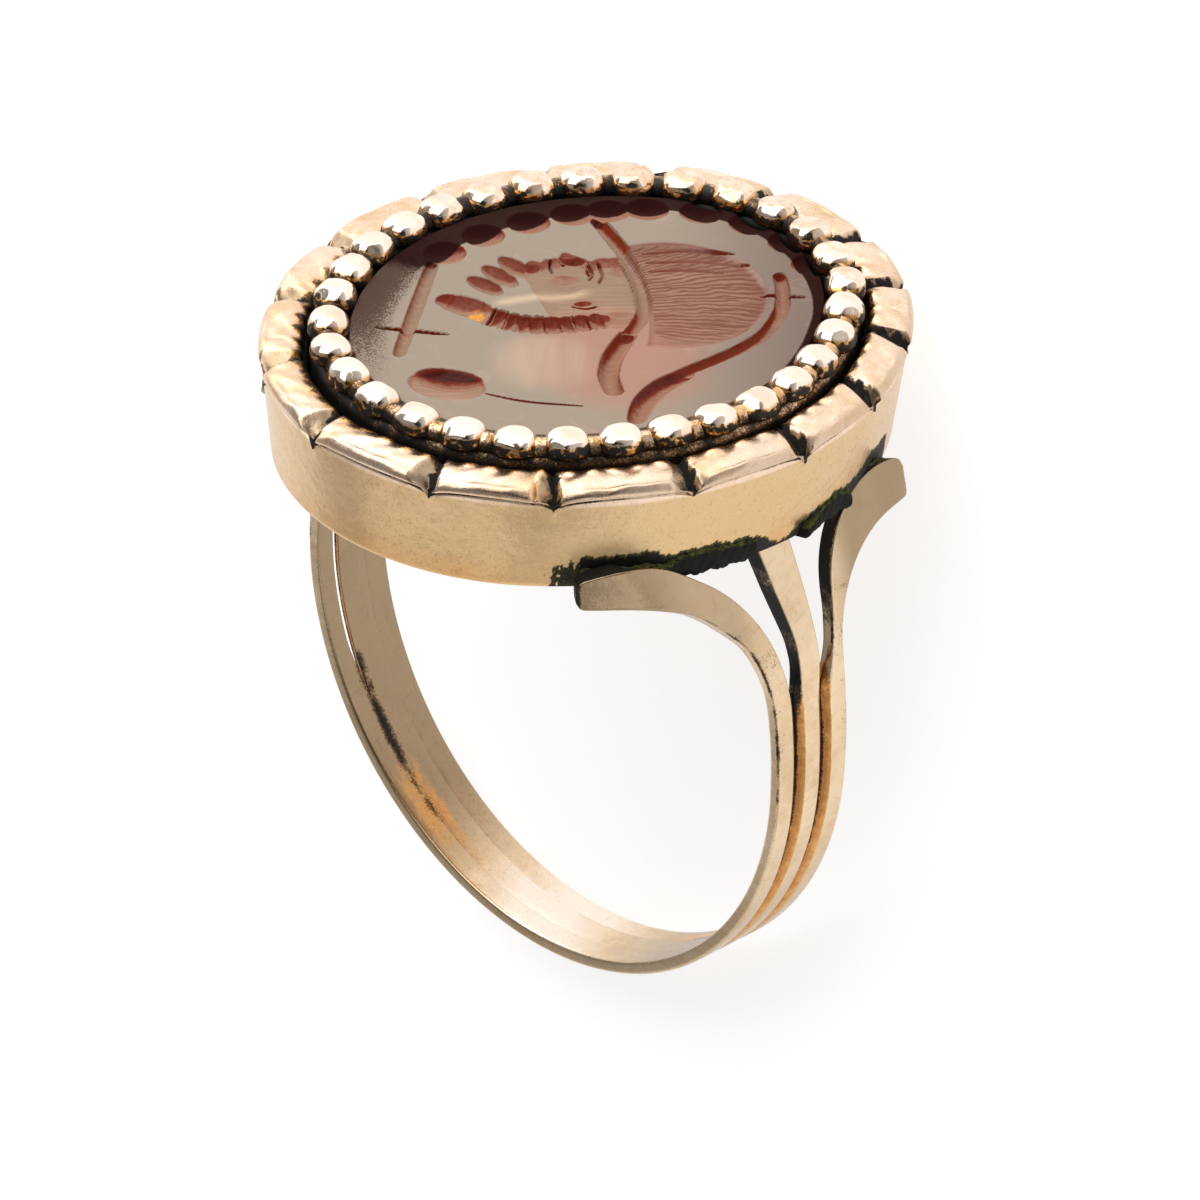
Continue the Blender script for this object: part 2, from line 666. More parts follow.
# Outline from the middle of the underside, up the wall, over the rim and down into the trench,
# with the number of rows to the top of the wall and to the end of the tiles.
def boxOutline():
    base, floorTop = box["baseHeight"], box["floorTop"]
    (footOut, footHigh), (riseOut, riseHigh) = box["wallFoot"], box["wallRise"]
    line = [(-4.2, base), (-2.0, base), (0.6, base), (1.2, base), (1.36, 7.275), (1.42, 7.31),
            (footOut, footHigh)]
    steps = [0.03 * k for k in range(1, 14)] + [0.43, 0.5, 0.6, 0.72, 0.84, 0.93, 0.98, 1.0]
    line += [(footOut + riseOut * k, footHigh + riseHigh * k) for k in steps]
    wallRows = len(line)
    line += [(1.755, 10.095), (1.76, 10.125), (1.82, 10.15), (1.855, 10.175), (1.872, 10.21), (1.872, 10.26),
             (1.862, 10.31), (1.84, 10.36), (1.81, 10.405), (1.77, 10.445), (1.72, 10.482), (1.66, 10.513),
             (1.59, 10.54), (1.5, 10.563), (1.39, 10.583), (1.27, 10.597), (1.16, 10.604), (1.06, 10.606),
             (0.97, 10.604), (0.89, 10.598), (0.82, 10.588), (0.76, 10.572), (0.71, 10.545), (0.675, 10.505),
             (0.65, 10.44), (0.635, 10.34), (0.622, 10.2)]
    tileRows = len(line)
    line += [(0.6, 10.06), (0.56, 10.04), (0.54, 9.95), (0.54, 9.78), (0.7, 9.75), (1.15, 9.75), (0.98, 8.2),
             (0.91, 7.85), (0.6, floorTop), (-2.0, floorTop), (-4.2, floorTop)]
    return np.array(line), wallRows, tileRows


# Solder lies between the prongs and the box. Its lane is the place along the finger, counted from the
# middle of a shoulder towards its short prong.
solder = {
    "start": -6.05,
    "end": 4.55,
    "out": 1.5,       # step out from the bead line
    "lean": 0.119,    # lean of the wall behind it
    "proud": 0.13,
    "rough": 0.25,
    "clear": 0.08,    # it stays this far behind the outer face of the prongs
    "along": 330,
    "around": 33,
}


# Height above the base to which the solder has crept up the wall.
def solderEdge(lane, rough=1.0):
    edge = 0.48 + 0.42 * bell(lane, -3.2, 1.2) + 0.18 * bell(lane, -1.2, 1.0)
    edge = edge - 0.34 * bell(lane, -0.35, 0.6, 4)     # the middle prong's tip hides it
    edge = edge + 0.45 * rise(-lane, 3.6, 4.8) + 0.15 * rise(-lane, 5.2, 5.8)
    edge = edge + 0.35 * rise(lane, 2.6, 3.8) + 0.36 * bell(lane, 1.9, 0.8)
    edge = edge + 0.2 * rise(lane, 2.0, 3.4)
    fine = 0.035 * np.sin(lane * 7.1 + 1) + 0.03 * np.sin(lane * 19) + 0.02 * np.sin(lane * 43)
    return edge + 0.05 * np.sin(lane * 2.3) + fine * rough


def makeBox():
    turn = np.linspace(0, 360, box["columns"] + 1)
    line, wallRows, tileRows = boxOutline()
    rows = len(line)
    shape = (len(turn), rows)
    lineOut, lineHigh = line[None, :, 0], line[None, :, 1]
    out, high = (np.broadcast_to(values, shape) for values in (lineOut, lineHigh))
    row = np.arange(rows)[None, :]
    rng = np.random.default_rng(box["seed"])
    tile = (row >= wallRows) & (row < tileRows)
    top = tile * rise(high, 10.2, 10.45)
    outer = tile * rise(out, 1.3, 1.8)
    inner = tile * fade(out, 0.68, 1.15)
    arc = arcRadius(turn)[:, None]
    way = np.radians(turn)[:, None] * (arc + 1.2)
    # The tiles come close to the beads at the back and the sides and leave a trench at the front.
    front = facing(turn, box["frontTurn"])[:, None]
    side = facing(turn, box["sideTurn"])[:, None]
    crown = box["crownOut"]
    stretch = 1 - box["frontGap"] * front ** 3 / (crown - box["innerReach"])
    out = np.where(tile & (out < crown), crown - (crown - out) * stretch, out)
    grime, patina, green = np.zeros(shape), np.zeros(shape), np.zeros(shape)
    dull = tile * rise(out, 1.5, 1.8) * (0.05 + 0.36 * (2 * side - 1))
    lift = ((row >= wallRows - 3) & (row < tileRows)) * rise(out, 1.6, 1.75)
    high = high + 0.09 * lift
    # Broad dents of the hammer.
    dent = 0.022 * np.sin(way * 1.7 + 0.5) * np.sin(way * 0.61)
    dent = dent + 0.014 * np.sin(way * 3.9 + out * 4) + 0.01 * np.sin(way * 7.3 + out * 9)
    high = high + dent * top + 0.1 * side * inner * top
    notches = len(box["notchTurns"])
    slopes, depths, leans = (rng.uniform(*span, notches) for span in ((-0.22, 0.22), (0.8, 1.15), (1.5, 2.3)))
    for k, notch in enumerate(box["notchTurns"]):
        away = (turn - notch + 180) % 360 - 180
        w = np.radians(away)[:, None] * (arc + out) + slopes[k] * (out - 1.4)
        reach = rise(out, 0.7, 1.9)
        half = box["innerHalf"] + (box["notchHalf"] - box["innerHalf"]) * reach
        # One tile end is filed to a slope and the next one starts steeply.
        v = np.maximum(1 - np.abs(w) / (half * np.where(w < 0, leans[k], 0.6)), 0)
        deep = (box["innerDepth"] + (box["notchDepth"] - box["innerDepth"]) * reach) * depths[k]
        high = high - v * deep * top
        out = out - v * 0.1 * outer * rise(high, 10.1, 10.3)
        high = high - bell(w, 0, 0.7) * 0.04 * top     # tile ends roll over softly
        high = high - np.exp(-np.abs(w) / 0.42) * box["cusp"] * lift * depths[k] * (0.35 + 0.65 * front)
        ragged = 0.035 * np.sin(out * 19 + k) + 0.02 * np.sin(out * 41 + 2 * k)
        core = np.maximum(1 - np.abs(w + ragged) / (0.15 + 0.07 * np.sin(out * 9 + 3 * k)), 0)
        corner = 0.42 * fade(out, 0.8, 1.35) * (1 - 0.5 * side) + 0.02
        corner = np.maximum(1 - np.abs(w) / corner, 0) ** 0.5 * fade(out, 1.0, 1.3) * (0.35 + 0.35 * front)
        dull = np.maximum(dull, rise(v, 0.02, 0.2) * tile * 0.75)
        grime = np.maximum(grime, np.maximum(rise(core, 0.0, 0.6), corner) * tile)
        green = np.maximum(green, rise(core, 0.0, 0.5) * tile * 0.2)
        patina = np.maximum(patina, rise(v, 0.45, 0.95) * tile * 0.3)
    # Wavy inner edge, pushed by a small tool.
    wave = np.sin(way * 2 * math.pi / 0.74 + 2 * np.sin(way * 0.7)) * 0.5 + 0.5
    out = out + inner * (wave ** 2 * 0.08)
    high = high - inner * (1 - wave) * 0.09
    # Dark metal in the trench, along the inner edge and in the broken line under the rim.
    trench = ((row >= tileRows - 1) & (row < rows - 5)) * (0.6 + 0.25 * front)
    uneven = 0.27 * wave + 0.07 * np.sin(way * 3.1 + 1) + 0.03 * np.sin(way * 23)
    reachIn = 0.79 + uneven * (0.25 + 0.75 * front) * (1 - 0.85 * side)
    band = fade(lineOut, reachIn - 0.18, reachIn + 0.06) * (0.3 + 0.26 * front) * (1 - 0.5 * side)
    brink = fade(lineOut, 0.66, 0.76) * (0.35 + 0.4 * front) * (1 - 0.6 * side)
    broken = 0.55 + 0.45 * np.sin(way * 1.3 + 1.5 * np.sin(way * 0.83)) + 0.2 * np.sin(way * 6.1)
    gapLine = bell(lineHigh, 10.115, 0.035) * (lineOut > 1.6) * np.clip(broken, 0.15, 1)
    for stain in (trench, tile * band, tile * brink, gapLine):
        grime = np.maximum(grime, stain)
    patina = np.maximum(patina, tile * fade(lineOut, reachIn - 0.1, reachIn + 0.2) * (0.3 + 0.4 * front))
    place = ovalPoints(turn[:, None], out, high)
    for end in (0, rows - 1):   # the floor closes over its own middle
        place[:, end] = (0, 0, line[end, 1])
    # Black stain of the solder on the lowest part of the wall, between the outer prongs of each shoulder.
    lane = place[..., 1] * np.sign(place[..., 0])
    atWall = (row > 2) & (row < wallRows) & (np.abs(place[..., 0]) > 3)
    up = place[..., 2] - box["baseHeight"]
    edge = solderEdge(lane)
    span = (lane > solder["start"]) * fade(lane, 4.7, 5.1) * atWall
    flaky = 0.1 * np.sin(lane * 31) + 0.08 * np.sin(up * 23 + lane * 11)
    blotch = rise(lane, -6.6 + flaky, -6.5 + flaky) * (lane < -6.0) * atWall
    blotch = blotch * fade(up, 0.72 + flaky, 0.84 + flaky)
    green = np.maximum(green, np.maximum(span * bell(up - edge, -0.02, 0.07), blotch * 0.7))
    # A small pit near the middle of the front.
    pitWay = np.radians(turn)[:, None] * arc - np.radians(box["pitTurn"]) * sideRadius
    pit = bell(pitWay, 0, 0.09) * bell(place[..., 2], box["pitHeight"], 0.09) * (row < wallRows)
    for stain in (span * fade(up, edge - 0.03, edge + 0.03), blotch * 0.8, pit * 0.42):
        grime = np.maximum(grime, stain)
    # A mat skin above the solder at the long prongs.
    matte = bell(lane, -5.5, 1.3, 4) * atWall * fade(up, 1.5, 2.2)
    return wrapGrid("ovalBox", place, {"grime": grime, "patina": patina, "green": green * 0.75,
                                       "dull": dull, "matte": matte})


ovalBox = makeBox()
finishPiece(ovalBox, wallGold, angle=55)
print("box ready")


collar = {
    "beads": 31,
    "height": 10.84,
    "half": (0.58, 0.65),    # half the size of a bead out from the stone and along the row
    "crown": 0.53,           # how far it rises above its widest part
    "under": 0.2,            # and how far it goes below it
    "squareness": 2.45,      # 2 is a ball
    "wire": 0.33,
    "wireHeight": 10.8,
    "outer": 0.44,
    "inner": -0.41,
    "foot": 7.95,
    "ledge": (-1.19, 8.22, 8.58),   # reach of the ledge under the stone, its underside and its top
    "columns": 620,
    "seed": 100,
}


def makeCollar():
    turn = np.linspace(0, 360, collar["columns"] + 1)[:, None]
    outer, inner, foot, wire = (collar[key] for key in ("outer", "inner", "foot", "wire"))
    reach, under, over = collar["ledge"]
    line = [(outer, foot), (outer, 9.4), (outer, 10.1), (outer, 10.35), (outer - 0.02, 10.5), (0.36, 10.6)]
    line += [(wire * math.cos(a), collar["wireHeight"] + wire * math.sin(a))
             for a in np.radians(np.linspace(-25, 205, 19))]
    line += [(-0.36, 10.6), (inner, 10.5), (inner, 10.2), (inner, 9.2), (inner, 8.6), (reach, over),
             (reach, under), (inner, 8.2), (inner, foot), (outer, foot)]
    out, high = np.array(line).T
    way = np.radians(turn) * 8
    uneven = 0.04 * np.sin(way * 4.3 + 1) + 0.04 * np.sin(way * 9.1)
    outside = rise(high, 10.2, 10.5) * (out > 0)
    side = facing(turn, box["sideTurn"])
    grime = 0.85 - (0.1 + 0.34 * side) * outside - 0.3 * rise(high, 10.86, 11.08) + uneven
    return wrapGrid("collarWall", ovalPoints(turn, out, high), {"grime": grime, "patina": 0.45, "green": 0})


def makeBeadForm():
    deselectAll()
    bpy.ops.mesh.primitive_ico_sphere_add(subdivisions=5, radius=1.0)
    bead = bpy.context.object
    p = points(bead)
    power = collar["squareness"]
    setPoints(bead, p / (np.abs(p) ** power).sum(1, keepdims=True) ** (1 / power))
    return bead


# Each copy of the bead gets its own lumps, a worn flat or two and its place in the row.
def wearBead(bead, k, turn):
    p = points(bead)
    rng = np.random.default_rng(collar["seed"] + k)
    p = p * (1 + ripple(p, 1.1, k + 1) * 0.06 + ripple(p, 0.5, k + 50) * 0.012)[:, None]
    for _ in range(2):
        a, e = rng.uniform(0, 2 * math.pi), rng.uniform(0.2, 0.9)
        n = np.array([math.cos(a) * math.cos(e), math.sin(a) * math.cos(e), math.sin(e)])
        over = p @ n - rng.uniform(0.9, 0.97)
        p -= (rise(over, -0.05, 0.25) * np.maximum(over, 0) * 0.7)[:, None] * n
    lean = np.array([rng.uniform(-0.2, 0.2), rng.uniform(-0.2, 0.2), 1.0])
    p[:, 2] -= np.maximum(p @ lean - rng.uniform(0.84, 0.9), 0) * 0.7
    high, neck = p[:, 2], np.abs(p[:, 1])
    # Tarnish stays low on the bead, in the pocket towards the tiles, between neighbours and in pits.
    low = fade(high + ripple(p, 0.45, k + 60) * 0.35, 0.28, 0.6)
    patches = rise(ripple(p, 0.28, k + 30), -0.12, 0.15)
    pocket = rise(p[:, 0], 0.3, 0.65) * rise(high, -0.4, -0.1) * fade(high, 0.3, 0.6)
    grime = low * (0.12 + 0.58 * patches) * rise(high, -0.35, -0.1)
    for stain in (pocket * rise(ripple(p, 0.36, k + 120), -0.06, 0.1) * 0.8,
                  rise(neck, 0.72, 0.95) * fade(high, 0.1, 0.6) * 0.75, fade(high, -0.5, -0.1)):
        grime = np.maximum(grime, stain)
    pits = rise(ripple(p, 0.2, k + 90), 0.15, 0.45) * fade(high, 0.2, 0.6)
    grime = np.clip(grime + pits * 0.4, 0, 1)
    patina = fade(high, 0.35, 0.75) * 0.55 + rise(neck, 0.6, 0.95) * 0.3
    patina = np.maximum(patina, 0.3 * facing(turn, 112))
    out, along = collar["half"]
    p = p * np.array([out, along, 1.0])
    p[:, 2] *= np.where(high > 0, collar["crown"], collar["under"]) * rng.uniform(0.96, 1.03)
    c, s = compass(turn)
    foot = ovalPoints(turn, rng.uniform(-0.03, 0.02), 0.0)
    foot[2] = collar["height"] + rng.uniform(-0.02, 0.02)
    setPoints(bead, p @ np.array([[c, s, 0], [-s, c, 0], [0, 0, 1]]) + foot)
    for label, values in (("grime", grime), ("patina", patina), ("green", grime * 0.2)):
        paint(bead, label, values)


def makeBeadRow():
    beads = [makeBeadForm()]
    while len(beads) < collar["beads"]:
        takeOnly(beads[0])
        bpy.ops.object.duplicate()
        beads.append(bpy.context.object)
    whole = math.pi * (sideRadius + endRadius)
    for k, bead in enumerate(beads):
        wearBead(bead, k, turnAt(k * whole / collar["beads"]))
    return joinPieces(beads, "beadRow")


collarWall = makeCollar()
finishPiece(collarWall, beadGold, angle=60)
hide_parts("beaded_collar")
beadRow = makeBeadRow()
finishPiece(beadRow, beadGold)
print("collar and beads ready")


def makeSolder(name, turnedRound):
    lane = np.linspace(solder["start"], solder["end"], solder["along"])[:, None]
    spin = np.linspace(0, 2 * math.pi, solder["around"])[None, :]
    footOut, footHigh = box["wallFoot"]
    turn = np.degrees(np.arcsin(lane / (sideRadius + solder["out"])))
    taper = np.minimum((lane - solder["start"]) / 0.08, (solder["end"] - lane) / 0.6)
    taper = np.sqrt(np.clip(taper, 0.02, 1))
    fill = np.maximum(rise(-lane, 3.3, 4.4), rise(lane, 2.0, 3.0))     # behind the prongs
    fill = np.maximum(fill, 0.8 * bell(lane, 0.3, 0.6))
    tall = (solderEdge(lane, solder["rough"]) - 0.06) / 2 * (1 - 0.3 * fill)
    thick = (solder["proud"] + 0.16 * fill) * taper
    wobble = 1 + 0.09 * np.sin(lane * 9 + spin * 2) + 0.05 * np.sin(lane * 21 - spin * 3)
    wobble = wobble + 0.02 * np.sin(lane * 43 + spin * 5)
    high = box["baseHeight"] + (tall - 0.02) + tall * taper * np.sin(spin) * wobble
    wall = footOut + solder["lean"] * (high - footHigh)
    place = ovalPoints(turn, wall + 0.12 * fill + thick * np.cos(spin) * wobble, high)
    behind = shoulderX(place[..., 1], place[..., 2]) - solder["clear"]
    atProng = np.maximum(rise(-lane, 3.3, 4.3), rise(lane, 2.4, 2.7))
    atProng = np.maximum(atProng, rise(0.9 - np.abs(lane + 0.4), 0.0, 0.3))
    place[..., 0] += atProng * np.minimum(behind - place[..., 0], 0)
    if turnedRound:
        place = place * halfTurn
    green = rise(np.sin(spin), 0.35, 0.95) * 0.6
    return wrapGrid(name, place, {"grime": 0.9, "patina": 0, "green": green}, capped=True)


for name, turnedRound in (("nearSolder", False), ("farSolder", True)):
    finishPiece(makeSolder(name, turnedRound), solderCrust)
print("solder ready")


stone = {
    "tableHeight": 10.85,
    "tableOut": -0.62,
    "figureTurn": 49.0,     # the figure's crown points this way from the +X side
    "grid": 307,
    "rimPoints": 2881,
    "splineSteps": 12,
    "shadeWay": (-0.753, 0.658),    # from the front right to the back left
    "shadeStep": 0.04,
    "hairPitch": 0.155,
    "lobeTurns": (65, 79.9, 96, 113, 131.5, 141.5, 150, 161, 173.3, 185.6),
    "edgeSteps": ((0.04, 1.004), (0.36, 1.018), (1.75, 1.0)),   # drop and growth from the table to the back
}
figureCos, figureSin = (float(value) for value in compass(stone["figureTurn"]))


def splinePoints(spots):
    spots = np.asarray(spots, float)
    padded = np.concatenate([[2 * spots[0] - spots[1]], spots, [2 * spots[-1] - spots[-2]]])
    line = []
    for k in range(len(spots) - 1):
        p0, p1, p2, p3 = padded[k:k + 4]
        for t in np.linspace(0, 1, stone["splineSteps"], endpoint=False):
            line.append(0.5 * (2 * p1 + (p2 - p0) * t + (2 * p0 - 5 * p1 + 4 * p2 - p3) * t * t
                               + (3 * p1 - p0 - 3 * p2 + p3) * t ** 3))
    line.append(spots[-1])
    return np.array(line)


# Hollows and grooves are 1 in their middle, 0 at their edge and below 0 outside it.
def hollow(at, centre, turn, long, wide):
    c, s = compass(turn)
    dx, dy = at[:, 0] - centre[0], at[:, 1] - centre[1]
    a, b = (dx * c + dy * s) / (long / 2), (-dx * s + dy * c) / (wide / 2)
    return np.maximum(1 - a * a - b * b, -1)


def groove(at, line, wide, endWide):
    line = np.asarray(line, float)
    near = np.all((at > line.min(0) - wide) & (at < line.max(0) + wide), axis=1)
    spots = at[near]
    best = np.full(len(spots), -1.0)
    count = len(line) - 1
    for k in range(count):
        p, d = line[k], line[k + 1] - line[k]
        t = np.clip(((spots - p) @ d) / max(d @ d, 1e-9), 0, 1)
        half = wide / 2 * (endWide + (1 - endWide) * np.sin(math.pi * (k + t) / count) ** 0.5)
        r = np.linalg.norm(spots - p - t[:, None] * d, axis=1) / half
        best = np.maximum(best, 1 - r * r)
    shape = np.full(len(at), -1.0)
    shape[near] = best
    return shape


# Round outline of the combed hair: 0 at its edge and above 0 inside.
def hairField(u, v):
    return 1 - ((u - 2.3) / 2.75) ** 2 - ((v - 1.0) / 2.85) ** 2


# Places on the table in the figure's own directions: u towards its crown and v towards its face.
def figurePlace(flat):
    x, y = flat[:, 0], flat[:, 1]
    return x * figureCos + y * figureSin, -x * figureSin + y * figureCos


# Works out, for points on the table, how deep the stone is cut, the edges of the cuts and how red they are.
def engrave(flat):
    u, v = figurePlace(flat)
    at = np.stack([u, v], 1)
    deep, edge, red = np.zeros(len(at)), np.full(len(at), -1.0), np.zeros(len(at))

    def cut(shape, depth, redness, power=0.75, over=False):
        nonlocal deep, edge, red
        if over:     # wipes out what lies under it
            deep, red = np.where(shape > 0, 0.08, deep), np.where(shape > 0, redness, red)
        here = depth * np.clip(shape, 0, 1) ** power
        red = np.where(here > deep + 0.02, redness, np.where(here > 0, np.maximum(red, redness), red))
        red = np.where((shape > -0.6) & (red == 0), redness, red)
        deep = np.maximum(deep, here)
        edge = np.maximum(edge, shape)

    def scoop(centre, turn, long, wide, depth, redness, power=0.75):
        cut(hollow(at, centre, turn, long, wide), depth, redness, power)

    # Two spots give a straight stroke and more of them a curved one.
    def stroke(spots, wide, depth, redness, endWide=0.7, over=False):
        line = splinePoints(spots) if len(spots) > 2 else spots
        cut(groove(at, line, wide, endWide), depth, redness, over=over)

    # Head in profile, crown towards +u and face towards +v, in three equal parts from hairline to chin.
    third, brow = 1.02, 0.48
    noseBase, chin = brow - third, brow - 2 * third
    outline = splinePoints([
        (brow + 1.1, 2.82), (brow + 0.7, 2.96), (brow + 0.3, 3.02), (brow, 3.0), (brow - 0.2, 2.86),
        (brow - 0.5, 3.02), (noseBase + 0.2, 3.3), (noseBase + 0.03, 3.28), (noseBase - 0.08, 3.02),
        (noseBase - 0.2, 3.04), (noseBase - 0.31, 2.92), (noseBase - 0.43, 2.99), (noseBase - 0.57, 2.8),
        (chin + 0.2, 2.88), (chin, 2.68), (chin - 0.12, 2.3)])
    outline = outline[np.argsort(outline[:, 0])]
    front = np.interp(u, outline[:, 0], outline[:, 1])
    face = np.minimum((front - v) / 0.5, (v + 0.3) / 1.4)
    jawLine = chin - 0.12 + 0.21 * np.clip(2.3 - v, 0, 4) ** 1.2
    face = np.minimum(face, np.minimum((u - jawLine) / 0.9, (1.9 - u) / 0.4))
    cut(np.clip(face, -1, 0.7), 0.2, 0.22)
    scoop((noseBase + 0.05, 1.75), 0, 1.7, 1.9, 0.26, 0.24, 1.2)
    scoop((brow + 0.5, 2.3), 0, 1.1, 1.5, 0.22, 0.24, 1.2)
    scoop((brow - 0.3, 2.42), 96, 0.46, 0.2, 0.3, 0.45)
    stroke([(brow - 0.3, 2.05), (brow - 0.19, 2.36), (brow - 0.3, 2.72)], 0.09, 0.28, 0.5)
    stroke([(brow - 0.04, 1.9), (brow + 0.07, 2.3), (brow - 0.01, 2.8)], 0.13, 0.26, 0.5)
    scoop((noseBase + 0.3, 2.93), -14, 0.8, 0.32, 0.28, 0.35)
    scoop((noseBase + 0.06, 2.84), 62, 0.24, 0.14, 0.3, 0.6)
    stroke([(noseBase - 0.31, 2.92), (noseBase - 0.33, 2.68), (noseBase - 0.29, 2.42)], 0.09, 0.28, 0.6)
    scoop((chin + 0.2, 2.5), 40, 0.6, 0.5, 0.25, 0.3)
    scoop((brow - 0.55, 0.75), 8, 0.85, 0.42, 0.25, 0.4)
    stroke([(brow - 0.2, 0.6), (brow - 0.5, 0.46), (brow - 0.85, 0.6)], 0.11, 0.28, 0.6)
    scoop((0.95, -0.2), 0, 1.0, 1.5, 0.17, 0.4)
    # Beard: a ribbed strand along the jaw, its end, and three smooth locks below the chin.
    jaw = splinePoints([(0.42, -0.28), (-0.3, -0.46), (-0.78, -0.56), (-1.87, -0.5), (-2.93, 0.05),
                        (-3.75, 0.7)])
    cut(groove(at, jaw, 0.84, 0.9), 0.2, 0.5)
    step = np.diff(jaw, axis=0)
    along = np.concatenate([[0], np.cumsum(np.linalg.norm(step, axis=1))])
    for way in np.arange(0.12, 3.4, 0.41):
        k, between = (int(np.searchsorted(along, spot)) for spot in (way, way + 0.205))
        tilt = math.degrees(math.atan2(step[k][1], step[k][0])) + 90
        scoop(jaw[k], tilt, 0.98, 0.5, 0.32, 0.4, 0.5)
        scoop(jaw[between], tilt + 4, 1.0, 0.12, 0.3, 0.72, 0.6)
    scoop((-3.3, 0.42), 148, 1.75, 1.0, 0.32, 0.28)
    for spot, tilt, long in (((-1.84, 2.5), 124, 1.4), ((-2.28, 2.02), 127, 1.45), ((-2.72, 1.52), 132, 1.3)):
        scoop(spot, tilt, long, 0.66, 0.27, 0.24)
    # Hair: a broad shallow field combed from the ribbon to the crown, with three deeper locks over the brow.
    behind = (u - (1.66 - 0.05 * v ** 2)) / 0.5
    hair = np.minimum(np.minimum(hairField(u, v) * 2.0, behind), (v + 2.3) / 1.6)
    cut(np.clip(hair, -1, 0.3), 0.3, 0.3, 1.0)
    for lock in ([(1.7, 3.35), (2.95, 3.495), (4.2, 3.2)], [(1.75, 2.85), (3.175, 2.925), (4.6, 2.6)],
                 [(1.8, 2.4), (2.85, 2.47), (3.9, 2.3)]):
        stroke(lock, 0.2, 0.15, 0.62, 0.25)
    # Ribbon round the head and its hanging end.
    stroke([(0.55, 5.06), (0.85, 4.3), (1.11, 3.58), (1.38, 2.7), (1.53, 1.83), (1.6, 0.9), (1.55, 0.2),
            (1.3, -0.5), (1.02, -1.07), (0.75, -1.7)], 0.5, 0.3, 0.42, 0.8, over=True)
    stroke([(1.0, -1.15), (0.7, -1.85), (0.5, -2.45), (0.38, -3.3), (0.48, -4.05)],
           0.58, 0.3, 0.55, 0.9, over=True)
    # Straight staff with its bar, leaf, thin line, and curved staff with its foot and bar.
    stroke([(-4.1, 2.7), (-5.25, -2.1)], 0.42, 0.2, 0.22, 0.8)
    stroke([(-5.82, -0.7), (-3.86, -1.08)], 0.2, 0.14, 0.8, 0.35)
    scoop((-4.03, -3.75), -15, 2.15, 1.55, 0.13, 0.4, 0.6)
    scoop((-3.95, -3.4), -15, 1.9, 1.0, 0.3, 0.95, 0.7)
    stroke([(-3.0, -4.2), (-1.9, -4.62), (-0.4, -4.85)], 0.13, 0.05, 0.9, 0.4)
    stroke([(1.02, -5.5), (1.42, -4.32), (2.22, -3.28), (3.46, -2.33), (4.2, -1.7), (4.83, -0.95),
            (5.3, 0.2), (5.42, 1.2), (5.39, 2.02)], 0.44, 0.22, 0.55, 0.8)
    stroke([(0.98, -5.6), (1.3, -4.6), (1.85, -3.75), (2.5, -3.15)], 0.72, 0.26, 0.8, 0.6)
    stroke([(4.75, 1.02), (6.0, 0.88)], 0.18, 0.12, 0.9, 0.35)
    # Row of lobes cut into the edge beyond the face, deeper in at the beard than at the crown.
    for turn in stone["lobeTurns"]:
        spot = ovalPoints(turn, stone["tableOut"] - 0.95 * rise(turn, 70, 165), 0.0)
        cut(hollow(flat, spot, turn + 90, 1.22, 1.15), 0.24, 0.85)
    return deep, edge, red


def makeStone():
    grid = stone["grid"]
    a, b = np.meshgrid(np.linspace(-1, 1, grid), np.linspace(-1, 1, grid), indexing="ij")
    # A square grid is rounded into a disc and then fitted to the oval.
    x = a * np.sqrt(1 - b * b / 2)
    y = b * np.sqrt(1 - a * a / 2)
    angle, radius = np.arctan2(y, x), np.hypot(x, y)
    rimLine = ovalPoints(np.linspace(0, 360, stone["rimPoints"]), stone["tableOut"], 0.0)
    seen = np.unwrap(np.arctan2(rimLine[:, 1], rimLine[:, 0]))
    reach = np.interp(angle % (2 * math.pi), seen, np.hypot(rimLine[:, 0], rimLine[:, 1])) * radius
    spot = np.stack([np.cos(angle) * reach, np.sin(angle) * reach], -1)
    flat = spot.reshape(-1, 2)
    deep, edge, red = engrave(flat)
    # How steeply a wall of a cut falls or rises along that way.
    step = stone["shadeStep"]
    along = np.array(stone["shadeWay"]) * step
    shade = (engrave(flat + along)[0] - engrave(flat - along)[0]) / (2 * step)
    # Toward the far edge the stone is seen through its own depth and looks dark; the left edge is frosted.
    turn = np.degrees(angle) % 360
    fromEdge = (1 - radius) * (reach / np.maximum(radius, 1e-6))
    band = 0.06 + 0.14 * rise(turn, 20, 45) + 0.22 * rise(turn, 45, 75)
    band = band + 0.5 * rise(turn, 85, 160)
    farSide = rise(turn, 2, 30) * fade(turn, 190, 214)
    paints = {"cutEdge": edge, "cutRed": red, "cutShade": shade,
              "hair": rise(hairField(*figurePlace(flat)), 0.0, 0.12),
              "rimDark": farSide * fade(fromEdge, band - 0.06, band + 0.14),
              "frost": bell(turn, 217, 30) * fade(fromEdge, 0.35, 1.5)}
    paints = {label: values.reshape(grid, grid) for label, values in paints.items()}
    height = stone["tableHeight"] - deep.reshape(grid, grid, 1)
    table = wrapGrid("engravedStone", np.concatenate([spot, height], -1), paints)
    # The edge is extruded down to the bevel, the side and the flat back.
    bpy.ops.object.mode_set(mode="EDIT")
    selectOpenEdges()
    for drop, grow in stone["edgeSteps"]:
        bpy.ops.mesh.extrude_region_move(TRANSFORM_OT_translate={"value": (0, 0, -drop)})
        bpy.ops.transform.resize(value=(grow, grow, 1), center_override=(0, 0, 0))
    bpy.ops.mesh.edge_face_add()
    pointOutwards()
    return table


